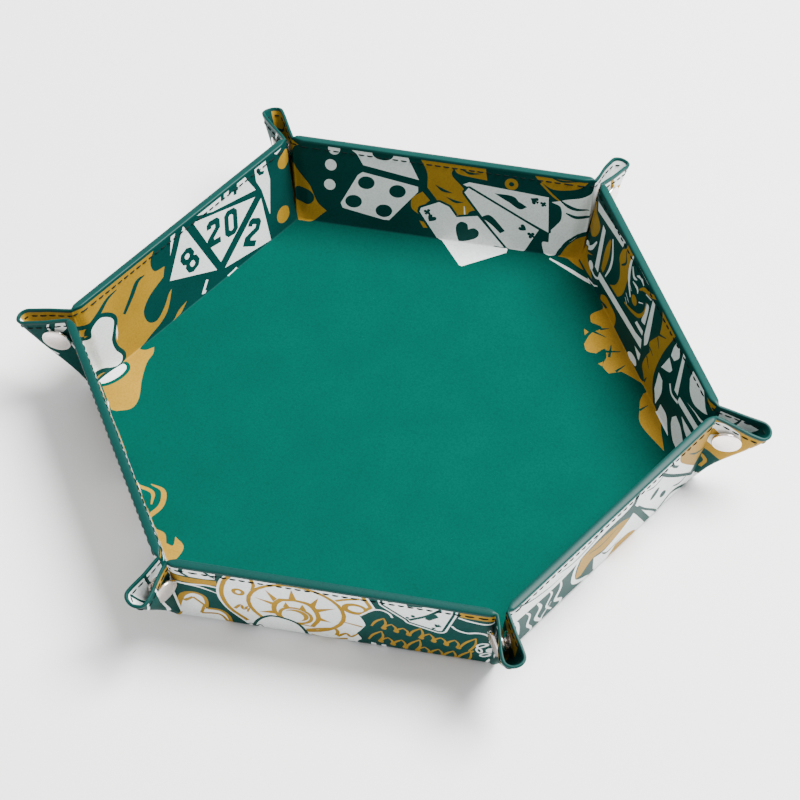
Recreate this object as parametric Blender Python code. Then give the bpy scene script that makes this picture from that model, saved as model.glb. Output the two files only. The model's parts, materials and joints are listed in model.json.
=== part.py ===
"""Hexagonal folding dice tray, standing ready for play: metres, +Z up.

One flat hexagonal sheet of two leather skins, with stiff boards between them, is folded up
into a tray. Six walls lean outwards from the floor, and at each corner the spare leather is
pinched outwards into an ear that a snap fastener holds. The origin is the middle of the
underside. Corner 1 points along +X, and the numbers go round anticlockwise from above.
"""

import math

import bmesh
import bpy
from mathutils import Matrix, Vector

MM = 0.001

# The sheet's layers, from the cover below to the lining above.
SKIN = 0.8 * MM
BOARD = 1.2 * MM
GAP = 0.3 * MM
SHEET = 2 * SKIN + 2 * GAP + BOARD
HALF_SHEET = SHEET / 2
HALF_BOARD = BOARD / 2
HALF_POCKET = HALF_BOARD + GAP

# The hexagon and its walls, measured on the middle of the sheet's thickness.
SIDES = 6
FLOOR_APOTHEM = 107.8 * MM
FLOOR_SIDE = 2 * FLOOR_APOTHEM * math.tan(math.pi / SIDES)
WALL_HEIGHT = 42.2 * MM
WALL_FOLD = math.radians(79)
FOLD_TRIM = 1.7 * MM
BOARD_FOLD_TRIM = 4.0 * MM
SEAM = 3.2 * MM

# The ears, whose folds all run along rays from the floor's corner. The angles of the rays
# are measured on the flat sheet, from the wall's square side edge.
HALF_EAR = math.radians(30)
GUSSET_RAY = math.radians(-2)
CREST_RAY = math.radians(26)
CREST_WIDTH = HALF_EAR - CREST_RAY
EAR_SHEET = 2.0 * MM
EAR_LOW = -HALF_SHEET
EAR_HIGH = EAR_LOW + EAR_SHEET
EAR_ROUNDING = 15 * MM
ROUNDING_STEPS = 6
GUSSET_TRIM = 1.25 * MM
CREST_FOLD_TRIM = 0.5 * MM
CREST_END_TRIM = 0.25 * MM
GUSSET_START = 10 * MM
CREST_START = 22 * MM

# The snap fasteners, turned about the axis that is square to the ear.
SNAP_DISTANCE = 32.5 * MM
SNAP_RAY = math.radians(12)
SNAP_HOLE_RADIUS = 2.5 * MM
SNAP_SEGMENTS = 20
CAP_RADIUS = 6.2 * MM
CAP_DOME = 1.1 * MM
POST_RADIUS = 2.0 * MM
POST_BORE = 1.3 * MM
POST_END = EAR_HIGH + 0.45 * MM
SOCKET_RADIUS = 4.1 * MM
SOCKET_BORE = 2.5 * MM
SOCKET_HEIGHT = 1.3 * MM
STUD_FLANGE = 3.8 * MM
STUD_BASE = 0.5 * MM
STUD_NECK = 1.2 * MM
STUD_BALL = 1.5 * MM
STUD_TIP = 4.2 * MM
RIVET_RADIUS = 4.4 * MM
RIVET_HEIGHT = 0.6 * MM
RIVET_BORE = 0.8 * MM
# The corners whose cap is on the wall before the corner. The others have it on the wall after.
CAP_BEFORE = (1, 2, 6)


def clear_scene():
    for obj in list(bpy.data.objects):
        bpy.data.objects.remove(obj, do_unlink=True)


def material(name, colour, roughness, metallic=0.0):
    made = bpy.data.materials.new(name)
    made.use_nodes = True
    made.diffuse_color = (*colour, 1.0)
    shader = made.node_tree.nodes["Principled BSDF"]
    shader.inputs["Base Color"].default_value = (*colour, 1.0)
    shader.inputs["Roughness"].default_value = roughness
    shader.inputs["Metallic"].default_value = metallic
    return made


def add(name, mesh, matrix, parent, finish):
    obj = bpy.data.objects.new(name, mesh)
    bpy.context.scene.collection.objects.link(obj)
    obj.parent = parent
    obj.matrix_basis = matrix
    if finish is not None:
        mesh.materials.append(finish)
    return obj


def hinge(name, matrix, parent=None):
    """An empty on a fold, which the pieces beyond the fold hang from."""
    empty = add(name, None, matrix, parent, None)
    empty.empty_display_size = 0.01
    return empty


def mesh_of(name, bm):
    bmesh.ops.recalc_face_normals(bm, faces=bm.faces)
    mesh = bpy.data.meshes.new(name)
    bm.to_mesh(mesh)
    bm.free()
    return mesh


def plate_mesh(name, outline, low, high):
    """A flat plate: the outline runs anticlockwise, and the plate is from low to high."""
    bm = bmesh.new()
    face = bm.faces.new([bm.verts.new((x, y, low)) for x, y in outline])
    grown = bmesh.ops.extrude_face_region(bm, geom=[face])["geom"]
    top = [item for item in grown if isinstance(item, bmesh.types.BMVert)]
    bmesh.ops.translate(bm, verts=top, vec=(0, 0, high - low))
    return mesh_of(name, bm)


def turned_mesh(name, profile, closed=False):
    """A round piece: the profile's points are (radius, height) about the Z axis."""
    bm = bmesh.new()
    verts = [bm.verts.new((radius, 0, height)) for radius, height in profile]
    edges = [bm.edges.new(pair) for pair in zip(verts, verts[1:])]
    if closed:
        edges.append(bm.edges.new((verts[-1], verts[0])))
    bmesh.ops.spin(
        bm,
        geom=verts + edges,
        axis=(0, 0, 1),
        cent=(0, 0, 0),
        angle=2 * math.pi,
        steps=SNAP_SEGMENTS,
        use_merge=True,
    )
    bmesh.ops.remove_doubles(bm, verts=bm.verts, dist=0.001 * MM)
    mesh = mesh_of(name, bm)
    mesh.shade_smooth()
    mesh.set_sharp_from_angle(angle=math.radians(35))
    return mesh


def cut(obj, name, mesh, matrix):
    """Cuts the mesh out of the object. Both are placed in the object's own frame."""
    cutter = add(name, mesh, matrix, obj, None)
    cutter.hide_render = True
    cutter.display_type = "WIRE"
    boolean = obj.modifiers.new(name, "BOOLEAN")
    boolean.operation = "DIFFERENCE"
    boolean.solver = "EXACT"
    boolean.object = cutter


def hexagon(apothem):
    radius = apothem / math.cos(math.pi / SIDES)
    angles = [2 * math.pi * corner / SIDES for corner in range(SIDES)]
    return [(radius * math.cos(angle), radius * math.sin(angle)) for angle in angles]


def clipped(outline, point, normal):
    """The part of a convex outline on the side of the line that the normal points to."""
    point, normal = Vector(point), Vector(normal)
    kept = []
    for here, there in zip(outline, outline[1:] + outline[:1]):
        here, there = Vector(here), Vector(there)
        depth, depth_there = (here - point).dot(normal), (there - point).dot(normal)
        if depth >= 0:
            kept.append(here)
        if (depth >= 0) != (depth_there >= 0):
            kept.append(here.lerp(there, depth / (depth - depth_there)))
    return kept


def ray(angle):
    return Vector((math.cos(angle), math.sin(angle)))


def ear_outline(first, first_trim, last, last_trim, start):
    """The flat outline of the ear's strip between two rays, seen from the floor's corner.

    X points out along the wall's side edge and Y away from the wall. The rim is at
    X = WALL_HEIGHT, and it turns into the ear's tip through a round corner.
    """
    centre_distance = WALL_HEIGHT / math.cos(HALF_EAR) - EAR_ROUNDING / math.sin(math.pi / 3)
    centre = centre_distance * ray(HALF_EAR)
    outline = [Vector((0, 0)), Vector((WALL_HEIGHT, 0))]
    for step in range(ROUNDING_STEPS + 1):
        outline.append(centre + EAR_ROUNDING * ray(HALF_EAR * step / ROUNDING_STEPS))
    along = ray(first).orthogonal()
    outline = clipped(outline, first_trim * along, along)
    along = -ray(last).orthogonal()
    outline = clipped(outline, last_trim * along, along)
    middle = ray((first + last) / 2)
    return clipped(outline, start * middle, middle)


def turned_to(outline, angle, side):
    """The outline in the frame of a fold at this angle, mirrored at the wall's far end."""
    cos, sin = math.cos(angle), math.sin(angle)
    turned = [(x * cos + y * sin, side * (y * cos - x * sin)) for x, y in outline]
    return turned if side > 0 else turned[::-1]


def ear_folds():
    """The angles that the gusset and the crest strip are folded by when the tray stands.

    The crest strips of the two halves of an ear meet square to the plane midway between
    the walls, so the line where a crest strip starts is CREST_WIDTH away from that plane.
    """
    standing = Matrix.Rotation(-WALL_FOLD, 3, "Y")
    across = Vector((-math.sin(HALF_EAR), math.cos(HALF_EAR), 0))
    width = CREST_RAY - GUSSET_RAY

    def lines(fold):
        turn = standing @ Matrix.Rotation(GUSSET_RAY, 3, "Z") @ Matrix.Rotation(-fold, 3, "X")
        crest = turn @ Vector((math.cos(width), math.sin(width), 0))
        onward = turn @ Vector((-math.sin(width), math.cos(width), 0))
        return crest, onward

    low, high = 0.0, math.pi / 2
    for _ in range(60):
        fold = (low + high) / 2
        if lines(fold)[0].dot(across) > -math.sin(CREST_WIDTH):
            low = fold
        else:
            high = fold
    crest, onward = lines(fold)
    meeting = (crest - crest.dot(across) * across).normalized()
    closing = (meeting - math.cos(CREST_WIDTH) * crest) / math.sin(CREST_WIDTH)
    return fold, onward.angle(closing)


def make_floor(finishes):
    layers = (
        ("floor_cover", FOLD_TRIM, 0, SKIN, "cover_leather"),
        ("floor_board", BOARD_FOLD_TRIM, SKIN + GAP, BOARD, "board"),
        ("floor_lining", FOLD_TRIM, SHEET - SKIN, SKIN, "lining_leather"),
    )
    for name, trim, height, thickness, finish in layers:
        mesh = plate_mesh(name, hexagon(FLOOR_APOTHEM - trim), 0, thickness)
        add(name, mesh, Matrix.Translation((0, 0, height)), None, finishes[finish])


def wall_outline(bottom, top, side_inset, slope):
    """A wall's outline, whose side edges lean outwards by the slope."""
    half_low = FLOOR_SIDE / 2 - side_inset + bottom * slope
    half_high = FLOOR_SIDE / 2 - side_inset + top * slope
    return [(bottom, -half_low), (top, -half_high), (top, half_high), (bottom, half_low)]


def make_wall(number, fold, finishes):
    """The two skins of a wall, sewn together on three sides, with the board between them."""
    slope = math.tan(GUSSET_RAY)
    name = f"wall_{number}_sleeve"
    outline = wall_outline(FOLD_TRIM, WALL_HEIGHT, GUSSET_TRIM, slope)
    mesh = plate_mesh(name, outline, -HALF_SHEET, HALF_SHEET)
    sleeve = add(name, mesh, Matrix(), fold, finishes["cover_leather"])
    outline = wall_outline(0, WALL_HEIGHT - SEAM, SEAM, slope)
    pocket = plate_mesh(name + "_pocket", outline, -HALF_POCKET, HALF_POCKET)
    cut(sleeve, name + "_pocket", pocket, Matrix())
    name = f"wall_{number}_board"
    outline = wall_outline(BOARD_FOLD_TRIM, WALL_HEIGHT - SEAM - GAP, SEAM + GAP, slope)
    mesh = plate_mesh(name, outline, -HALF_BOARD, HALF_BOARD)
    add(name, mesh, Matrix(), fold, finishes["board"])


def make_cap(number, place, fold, finishes):
    """The domed cap, whose hollow post goes through the leather into the socket."""
    under = EAR_LOW - GAP
    cap = [
        (0, under - CAP_DOME),
        (0.5 * CAP_RADIUS, under - 0.93 * CAP_DOME),
        (0.84 * CAP_RADIUS, under - 0.68 * CAP_DOME),
        (CAP_RADIUS, under - 0.25 * CAP_DOME),
        (CAP_RADIUS, under),
        (POST_RADIUS, under),
        (POST_RADIUS, POST_END),
        (POST_BORE, POST_END),
        (POST_BORE, EAR_LOW),
        (0, EAR_LOW),
    ]
    name = f"corner_{number}_snap_cap"
    add(name, turned_mesh(name, cap), place, fold, finishes["snap_metal"])


def make_socket(number, place, fold, finishes):
    """The ring on the lining that grips the stud."""
    base = EAR_HIGH + GAP
    top = base + SOCKET_HEIGHT
    socket = [
        (SOCKET_BORE, base),
        (0.96 * SOCKET_RADIUS, base),
        (SOCKET_RADIUS, base + 0.3 * SOCKET_HEIGHT),
        (0.84 * SOCKET_RADIUS, top),
        (1.15 * SOCKET_BORE, top),
        (SOCKET_BORE, base + 0.7 * SOCKET_HEIGHT),
    ]
    name = f"corner_{number}_snap_socket"
    add(name, turned_mesh(name, socket, closed=True), place, fold, finishes["snap_metal"])


def make_stud(number, place, fold, finishes):
    """The stud with its hollow rivet, which goes through the leather to a ring outside."""
    base = EAR_HIGH + GAP
    outside = EAR_LOW - GAP
    neck = STUD_TIP - 2.1 * STUD_BALL
    stud = [
        (0, base + STUD_BASE),
        (RIVET_BORE, base + STUD_BASE),
        (RIVET_BORE, outside - 0.6 * RIVET_HEIGHT),
        (0.6 * RIVET_RADIUS, outside - RIVET_HEIGHT),
        (RIVET_RADIUS, outside - 0.4 * RIVET_HEIGHT),
        (RIVET_RADIUS, outside),
        (POST_RADIUS, outside),
        (POST_RADIUS, base),
        (STUD_FLANGE, base),
        (STUD_FLANGE, base + STUD_BASE),
        (1.3 * STUD_NECK, base + STUD_BASE + 0.15 * MM),
        (STUD_NECK, max(neck, base + STUD_BASE + 0.4 * MM)),
        (STUD_BALL, STUD_TIP - STUD_BALL),
        (0.8 * STUD_BALL, STUD_TIP - 0.35 * STUD_BALL),
        (0, STUD_TIP),
    ]
    name = f"corner_{number}_snap_stud"
    add(name, turned_mesh(name, stud), place, fold, finishes["snap_metal"])


def make_half_ear(number, half, wall_fold, has_cap, folds, finishes):
    """Half of an ear: the gusset beside the wall, the crest strip beyond it, and its snap."""
    side = 1 if half == "a" else -1
    gusset_fold, crest_fold = folds
    at_corner = Matrix.Translation((0, side * FLOOR_SIDE / 2, 0))
    turn = Matrix.Rotation(side * GUSSET_RAY, 4, "Z") @ Matrix.Rotation(-side * gusset_fold, 4, "X")
    gusset_hinge = hinge(f"corner_{number}_gusset_{half}_fold", at_corner @ turn, wall_fold)
    turn = Matrix.Rotation(side * (CREST_RAY - GUSSET_RAY), 4, "Z")
    turn = turn @ Matrix.Rotation(side * crest_fold, 4, "X")
    crest_hinge = hinge(f"corner_{number}_crest_{half}_fold", turn, gusset_hinge)

    name = f"corner_{number}_gusset_{half}"
    outline = ear_outline(GUSSET_RAY, GUSSET_TRIM, CREST_RAY, CREST_FOLD_TRIM, GUSSET_START)
    mesh = plate_mesh(name, turned_to(outline, GUSSET_RAY, side), EAR_LOW, EAR_HIGH)
    gusset = add(name, mesh, Matrix(), gusset_hinge, finishes["cover_leather"])
    x, y = SNAP_DISTANCE * ray(SNAP_RAY - GUSSET_RAY)
    place = Matrix.Translation((x, side * y, 0))
    drill = [(0, -SHEET), (SNAP_HOLE_RADIUS, -SHEET), (SNAP_HOLE_RADIUS, SHEET), (0, SHEET)]
    cut(gusset, name + "_hole", turned_mesh(name + "_hole", drill), place)

    name = f"corner_{number}_crest_{half}"
    outline = ear_outline(CREST_RAY, CREST_FOLD_TRIM, HALF_EAR, CREST_END_TRIM, CREST_START)
    mesh = plate_mesh(name, turned_to(outline, CREST_RAY, side), EAR_LOW, EAR_HIGH)
    add(name, mesh, Matrix(), crest_hinge, finishes["cover_leather"])

    if has_cap:
        make_cap(number, place, gusset_hinge, finishes)
        make_socket(number, place, gusset_hinge, finishes)
    else:
        make_stud(number, place, gusset_hinge, finishes)


def main():
    clear_scene()
    finishes = {
        "cover_leather": material("cover_leather", (0.012, 0.13, 0.085), 0.5),
        "lining_leather": material("lining_leather", (0.005, 0.22, 0.14), 0.6),
        "board": material("board", (0.42, 0.36, 0.28), 0.9),
        "snap_metal": material("snap_metal", (0.78, 0.76, 0.72), 0.25, 1.0),
    }
    make_floor(finishes)
    wall_folds = []
    for wall in range(SIDES):
        turn = Matrix.Rotation(2 * math.pi * (wall + 0.5) / SIDES, 4, "Z")
        out = Matrix.Translation((FLOOR_APOTHEM, 0, HALF_SHEET))
        standing = Matrix.Rotation(-WALL_FOLD, 4, "Y")
        fold = hinge(f"wall_{wall + 1}_fold", turn @ out @ standing)
        make_wall(wall + 1, fold, finishes)
        wall_folds.append(fold)
    folds = ear_folds()
    for corner in range(SIDES):
        number = corner + 1
        before = number in CAP_BEFORE
        make_half_ear(number, "a", wall_folds[corner - 1], before, folds, finishes)
        make_half_ear(number, "b", wall_folds[corner], not before, folds, finishes)


main()
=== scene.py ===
"""The looks of the folding dice tray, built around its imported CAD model: metres, +Z up."""
import json
import math
import re
from functools import partial

import bmesh
import bpy
from mathutils import Matrix, Vector
from mathutils.geometry import delaunay_2d_cdt

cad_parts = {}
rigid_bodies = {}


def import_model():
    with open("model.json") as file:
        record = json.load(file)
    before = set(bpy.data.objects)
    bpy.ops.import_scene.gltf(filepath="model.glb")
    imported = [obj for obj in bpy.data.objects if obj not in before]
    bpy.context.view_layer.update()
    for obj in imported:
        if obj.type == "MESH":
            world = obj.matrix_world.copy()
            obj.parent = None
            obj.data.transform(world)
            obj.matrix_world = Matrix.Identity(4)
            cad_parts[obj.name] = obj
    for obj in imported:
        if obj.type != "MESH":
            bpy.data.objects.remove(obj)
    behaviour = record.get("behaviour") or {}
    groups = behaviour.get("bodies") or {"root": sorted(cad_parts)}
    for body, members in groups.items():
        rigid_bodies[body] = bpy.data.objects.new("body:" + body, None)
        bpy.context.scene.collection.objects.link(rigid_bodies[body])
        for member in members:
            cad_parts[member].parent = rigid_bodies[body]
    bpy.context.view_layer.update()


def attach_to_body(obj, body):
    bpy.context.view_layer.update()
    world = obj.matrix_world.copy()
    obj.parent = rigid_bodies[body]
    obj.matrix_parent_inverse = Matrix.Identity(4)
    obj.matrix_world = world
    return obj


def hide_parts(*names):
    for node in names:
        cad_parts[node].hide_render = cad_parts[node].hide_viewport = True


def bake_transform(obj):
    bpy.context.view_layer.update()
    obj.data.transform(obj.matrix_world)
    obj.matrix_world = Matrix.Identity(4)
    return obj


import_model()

MM = 0.001

# The sheet, as the CAD has it, in millimetres. The angles of an ear's folds are rays from the
# floor's corner, measured on the flat sheet from the wall's square side edge.
SIDES = 6
APOTHEM = 107.8
HALF_SIDE = APOTHEM * math.tan(math.pi / SIDES)
WALL_HEIGHT = 42.2
WALL_FOLD = math.radians(79)
HALF_SHEET = 1.7
HALF_EAR = math.radians(30)
GUSSET_RAY = math.radians(-2)
CREST_RAY = math.radians(26)
EAR_MIDDLE = -0.7
EAR_ROUNDING = 15.0
SNAP_DISTANCE = 32.5
SNAP_RAY = math.radians(12)
CAP_BEFORE = (1, 2, 6)

# How the leather differs from the CAD's flat plates.
SKIN = 0.5
EAR_HALF = 0.55
FLOOR_BEND = 2.0
GUSSET_BEND = math.radians(3)
CREST_BEND = math.radians(3.7)
EAR_START = 1.0
THIN_START = -5.5
THIN_END = -1.2
THIN_REACH = 10.0
BLEND_DISTANCE = 38.0
RIM_ROOT = 0.9
RIM_BULGE = 0.62
RIM_CLEARANCE = 0.12
RIM_LAP = 0.07
STITCH_INSET = 2.9
STITCH_PITCH = 3.7
STITCH_LENGTH = 2.9
STITCH_RADIUS = 0.34

# How the leather gives at each corner, in mm: the snap draws the halves together, and the ear's
# tip moves outwards, sideways and up, and its loop widens.
PINCH = {1: 3.0, 2: 4.3, 3: 4.2, 4: 3.2, 5: 3.9, 6: 3.7}
TIPS = {
    1: (2.0, 0.0, -4.6, 0.1), 2: (1.0, 2.0, 0.0, -0.5), 3: (2.8, 1.2, 1.0, 0.0),
    4: (2.2, 0.0, -1.8, -0.5), 5: (0.4, 2.2, -2.2, 0.6), 6: (1.0, -1.8, -2.2, 0.2),
}

# How finely the pieces are made: the rows of a skin and the points that are merged, in mm, the
# angle between an ear's rays, the steps of rounds, and the turn above which an edge looks sharp.
MESH_SIZE = 3
MERGE_DISTANCE = 0.002
RAY_PITCH = math.radians(0.75)
CURVE_STEPS = 6
OVAL_STEPS = 28
RIM_STEPS = 8
STITCH_STEPS = 6
SNAP_STEPS = 64
CREASE = math.radians(50)
METAL_CREASE = math.radians(40)


# ---- the folded sheet

def smooth(low, high, value):
    """0 up to low and 1 from high on, with an even curve between them."""
    t = min(1.0, max(0.0, (value - low) / (high - low)))
    return t * t * (3 - 2 * t)


def turn(angle, axis):
    return Matrix.Rotation(angle, 3, axis)


def fold_angles():
    """The CAD's angles of the gusset and the crest folds when the tray stands."""
    standing = turn(-WALL_FOLD, "Y")
    across = Vector((-math.sin(HALF_EAR), math.cos(HALF_EAR), 0))
    width = HALF_EAR - CREST_RAY
    reach = CREST_RAY - GUSSET_RAY

    def lines(fold):
        plate = standing @ turn(GUSSET_RAY, "Z") @ turn(-fold, "X")
        crest = plate @ Vector((math.cos(reach), math.sin(reach), 0))
        return crest, plate @ Vector((-math.sin(reach), math.cos(reach), 0))

    low, high = 0.0, math.pi / 2
    for _ in range(60):
        fold = (low + high) / 2
        if lines(fold)[0].dot(across) > -math.sin(width):
            low = fold
        else:
            high = fold
    crest, onward = lines(fold)
    meeting = (crest - crest.dot(across) * across).normalized()
    closing = (meeting - math.cos(width) * crest) / math.sin(width)
    return fold, onward.angle(closing)


GUSSET_FOLD, CREST_FOLD = fold_angles()
WALL_PLANE = turn(-WALL_FOLD, "Y")
GUSSET_PLANE = WALL_PLANE @ turn(GUSSET_RAY, "Z") @ turn(-GUSSET_FOLD, "X") @ turn(-GUSSET_RAY, "Z")
CREST_PLANE = GUSSET_PLANE @ turn(CREST_RAY, "Z") @ turn(CREST_FOLD, "X") @ turn(-CREST_RAY, "Z")


def bend(before, ray, half, fold, angle):
    """The frame of a ray inside a round bend of the ear, which is a cone about its own axis."""
    radius = math.atan(math.sin(half) / math.tan(abs(fold) / 2))
    sweep = 2 * math.atan(math.tan(half) / math.sin(radius))
    start = before @ turn(ray - half, "Z")
    side = 1 if fold > 0 else -1
    axis = math.cos(radius) * start.col[0] + side * math.sin(radius) * start.col[2]
    share = (angle - ray + half) / (2 * half)
    return Matrix.Rotation(side * sweep * share, 3, axis) @ start


def ear_frame(angle):
    """Columns: along the ray, across it, and the way that the lining faces."""
    if angle <= GUSSET_RAY - GUSSET_BEND:
        return WALL_PLANE @ turn(angle, "Z")
    if angle < GUSSET_RAY + GUSSET_BEND:
        return bend(WALL_PLANE, GUSSET_RAY, GUSSET_BEND, -GUSSET_FOLD, angle)
    if angle <= CREST_RAY - CREST_BEND:
        return GUSSET_PLANE @ turn(angle, "Z")
    if angle < CREST_RAY + CREST_BEND:
        return bend(GUSSET_PLANE, CREST_RAY, CREST_BEND, CREST_FOLD, angle)
    return CREST_PLANE @ turn(angle, "Z")


def polar(x, y):
    """Distance and angle from the floor's corner nearest to the flat point."""
    return math.hypot(x, abs(y) - HALF_SIDE), math.atan2(abs(y) - HALF_SIDE, x)


def sheet_height(face, x, y):
    """The height of the lining, where the face is 1, or of the cover, where it is -1.

    A board fills the sheet where the share is 0, and the two skins are bonded where it is 1.
    """
    share = smooth(THIN_START, THIN_END, abs(y) - HALF_SIDE) * smooth(0, THIN_REACH, x)
    return face * HALF_SHEET * (1 - share) + (EAR_MIDDLE + face * EAR_HALF) * share


def wall_point(x, y, height):
    """A flat point of a wall's strip, folded up, in the wall's own frame: X is outwards."""
    if x <= -FLOOR_BEND:
        return Vector((x, y, height))
    if x >= FLOOR_BEND:
        return Vector((0, y, 0)) + WALL_PLANE @ Vector((x, 0, height))
    radius = FLOOR_BEND / math.tan(WALL_FOLD / 2)
    angle = WALL_FOLD * (x + FLOOR_BEND) / (2 * FLOOR_BEND)
    reach = radius - height
    return Vector((reach * math.sin(angle) - FLOOR_BEND, y, radius - reach * math.cos(angle)))


def corner_of(wall, side):
    """The corner's number and the half of its ear that hangs on this end of the wall."""
    return (wall + 1) % SIDES + 1 if side > 0 else wall + 1, "a" if side > 0 else "b"


def give(wall, side, distance, angle):
    """The snap draws the ear's halves together, its loop stays open, and its tip hangs."""
    out = Vector((math.cos(HALF_EAR), math.sin(HALF_EAR), 0))
    across = Vector((-math.sin(HALF_EAR), math.cos(HALF_EAR), 0))
    degrees = math.degrees(angle)
    number = corner_of(wall, side)[0]
    outwards, sideways, up, flare = TIPS[number]
    pinch = PINCH[number] * distance / WALL_HEIGHT * smooth(2, 12, distance)
    pinch *= smooth(-18, -2, degrees) * (1 - smooth(-3, 26, degrees))
    flare *= smooth(26, 42, distance) * smooth(11, 21, degrees) * (1 - smooth(24, 30, degrees))
    share = smooth(-6, 3, degrees)
    towards = (1 - share) * Vector((0, 1 / math.cos(HALF_EAR), 0)) + share * across
    moved = pinch * towards - flare * across
    weight = smooth(9, 46, distance) * smooth(-2, 24, degrees)
    return moved + weight * (outwards * out + side * sideways * across + Vector((0, 0, up)))


def wall_angle(wall):
    return 2 * math.pi * (wall + 0.5) / SIDES


def rest_point(wall, x, y, height):
    """Where a point of the flat sheet is when the tray stands, in metres."""
    distance, angle = polar(x, y)
    side = 1 if y > 0 else -1
    if x > 0 and angle > GUSSET_RAY - GUSSET_BEND:
        axes = ear_frame(angle)
        point = distance * axes.col[0] + height * axes.col[2]
        point.y += HALF_SIDE
    else:
        point = wall_point(x, abs(y), height)
    if x > 0:
        point += give(wall, side, distance, angle)
    point.y *= side
    point.x += APOTHEM
    point.z += HALF_SHEET
    return turn(wall_angle(wall), "Z") @ point * MM


# ---- materials

def feed(node, inputs):
    """Gives each named input its value, or a link from another node's output."""
    for key, value in inputs.items():
        if isinstance(value, bpy.types.NodeSocket):
            node.id_data.links.new(value, node.inputs[key])
        else:
            node.inputs[key].default_value = value


def new_material(name):
    """A material, its shader, and a function that adds a node to it."""
    made = bpy.data.materials.new(name)
    made.use_nodes = True
    nodes = made.node_tree.nodes

    def add(kind, inputs, **settings):
        node = nodes.new("ShaderNode" + kind)
        for setting, value in settings.items():
            setattr(node, setting, value)
        feed(node, inputs)
        return node

    return made, nodes["Principled BSDF"], add


def colour_ramp(add, value, *stops):
    """The colour that the value picks between two stops, each a position and a colour."""
    ramp = add("ValToRGB", {"Fac": value})
    for element, (position, colour) in zip(ramp.color_ramp.elements, stops):
        element.position = position
        element.color = (*colour, 1)
    return ramp.outputs["Color"]


def leather(name, colour, roughness, variation=0.12, grain=0.25, pores=1500.0, gloss=0.06):
    """Synthetic leather: a pebbled grain with fine pores, and a slightly cloudy colour."""
    made, shader, add = new_material(name)
    place = add("TexCoord", {}).outputs["Object"]
    cloud = add("TexNoise", {"Scale": 45.0, "Detail": 6.0, "Vector": place}).outputs["Fac"]
    dark, light = ([c * change for c in colour] for change in (1 - variation, 1 + variation))
    cloudy = colour_ramp(add, cloud, (0.3, dark), (0.7, light))
    cells = add("TexVoronoi", {"Scale": pores, "Vector": place}, feature="SMOOTH_F1").outputs["Distance"]
    spots = colour_ramp(add, cells, (0.25, (1, 1, 1)), (0.8, (0.55, 0.55, 0.55)))
    shade = add("Mix", {"Factor": 0.35, "A": cloudy, "B": spots}, data_type="RGBA", blend_type="MULTIPLY")
    bump = add("Bump", {"Strength": grain, "Distance": 0.00012, "Height": cells}, invert=True)
    feed(shader, {"Base Color": shade.outputs["Result"], "Normal": bump.outputs["Normal"],
                  "Roughness": roughness, "Specular IOR Level": gloss})
    return made


def metal(name, colour, roughness):
    """Plated steel whose roughness varies along fine scratches."""
    made, shader, add = new_material(name)
    place = add("TexCoord", {}).outputs["Object"]
    scratches = add("TexNoise", {"Scale": 900.0, "Detail": 4.0, "Vector": place}).outputs["Fac"]
    spread = add("MapRange", {"Value": scratches, "To Min": roughness * 0.8, "To Max": roughness * 1.3})
    feed(shader, {"Roughness": spread.outputs["Result"], "Base Color": (*colour, 1), "Metallic": 1.0})
    return made


PAINTS = {
    "ground": leather("print_dark_green", (0.0008, 0.037, 0.032), 0.5),
    "white": leather("print_white", (0.71, 0.75, 0.735), 0.5, variation=0.04),
    "ochre": leather("print_ochre", (0.30, 0.17, 0.014), 0.5),
    "floor": leather("floor_green", (0.0002, 0.053, 0.039), 0.6, variation=0.05, gloss=0.0),
}
PAINT_ORDER = list(PAINTS)
BACKING = leather("skin_backing", (0.04, 0.05, 0.045), 0.85)
EDGE = leather("edge_paint", (0.0006, 0.036, 0.031), 0.4, variation=0.06, grain=0.1, gloss=0.12)
THREAD = leather("thread", (0.004, 0.012, 0.011), 0.6, variation=0.3, grain=0.6, pores=4000.0)
METAL = metal("snap_metal", (0.84, 0.77, 0.73), 0.24)


def greyboard():
    """Pressed paper board with flecks of fibre."""
    made, shader, add = new_material("greyboard")
    place = add("TexCoord", {}).outputs["Object"]
    fibre = add("TexNoise", {"Scale": 700.0, "Detail": 5.0, "Vector": place}).outputs["Fac"]
    flecks = colour_ramp(add, fibre, (0.35, (0.13, 0.11, 0.09)), (0.65, (0.27, 0.24, 0.2)))
    bump = add("Bump", {"Strength": 0.3, "Distance": 0.0001, "Height": fibre})
    feed(shader, {"Base Color": flecks, "Normal": bump.outputs["Normal"], "Roughness": 0.9})
    return made


# ---- skins

def area(outline):
    """Twice the outline's area, which is above 0 where it runs anticlockwise."""
    return sum(Vector(a).cross(Vector(b)) for a, b in zip(outline, outline[1:] + outline[:1]))


def cut_print(outline, lines, shapes):
    """The outline's triangles, cut along every line and shape, each with its paint."""
    points, edges, faces = [], [], []

    def add(items):
        points.extend(Vector(item) for item in items)
        return range(len(points) - len(items), len(points))

    for shape in [outline] + [shape for _, shape in shapes]:
        faces.append(list(add(shape if area(shape) >= 0 else shape[::-1])))
    for line in lines:
        order = add(line)
        edges.extend(zip(order, order[1:]))
    verts, _, triangles, _, _, sources = delaunay_2d_cdt(points, edges, faces, 0, MERGE_DISTANCE, True)
    kept = []
    for triangle, source in zip(triangles, sources):
        if 0 in source:
            top = max(source)
            kept.append((tuple(triangle), shapes[top - 1][0] if top else None))
    return verts, kept


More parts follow.
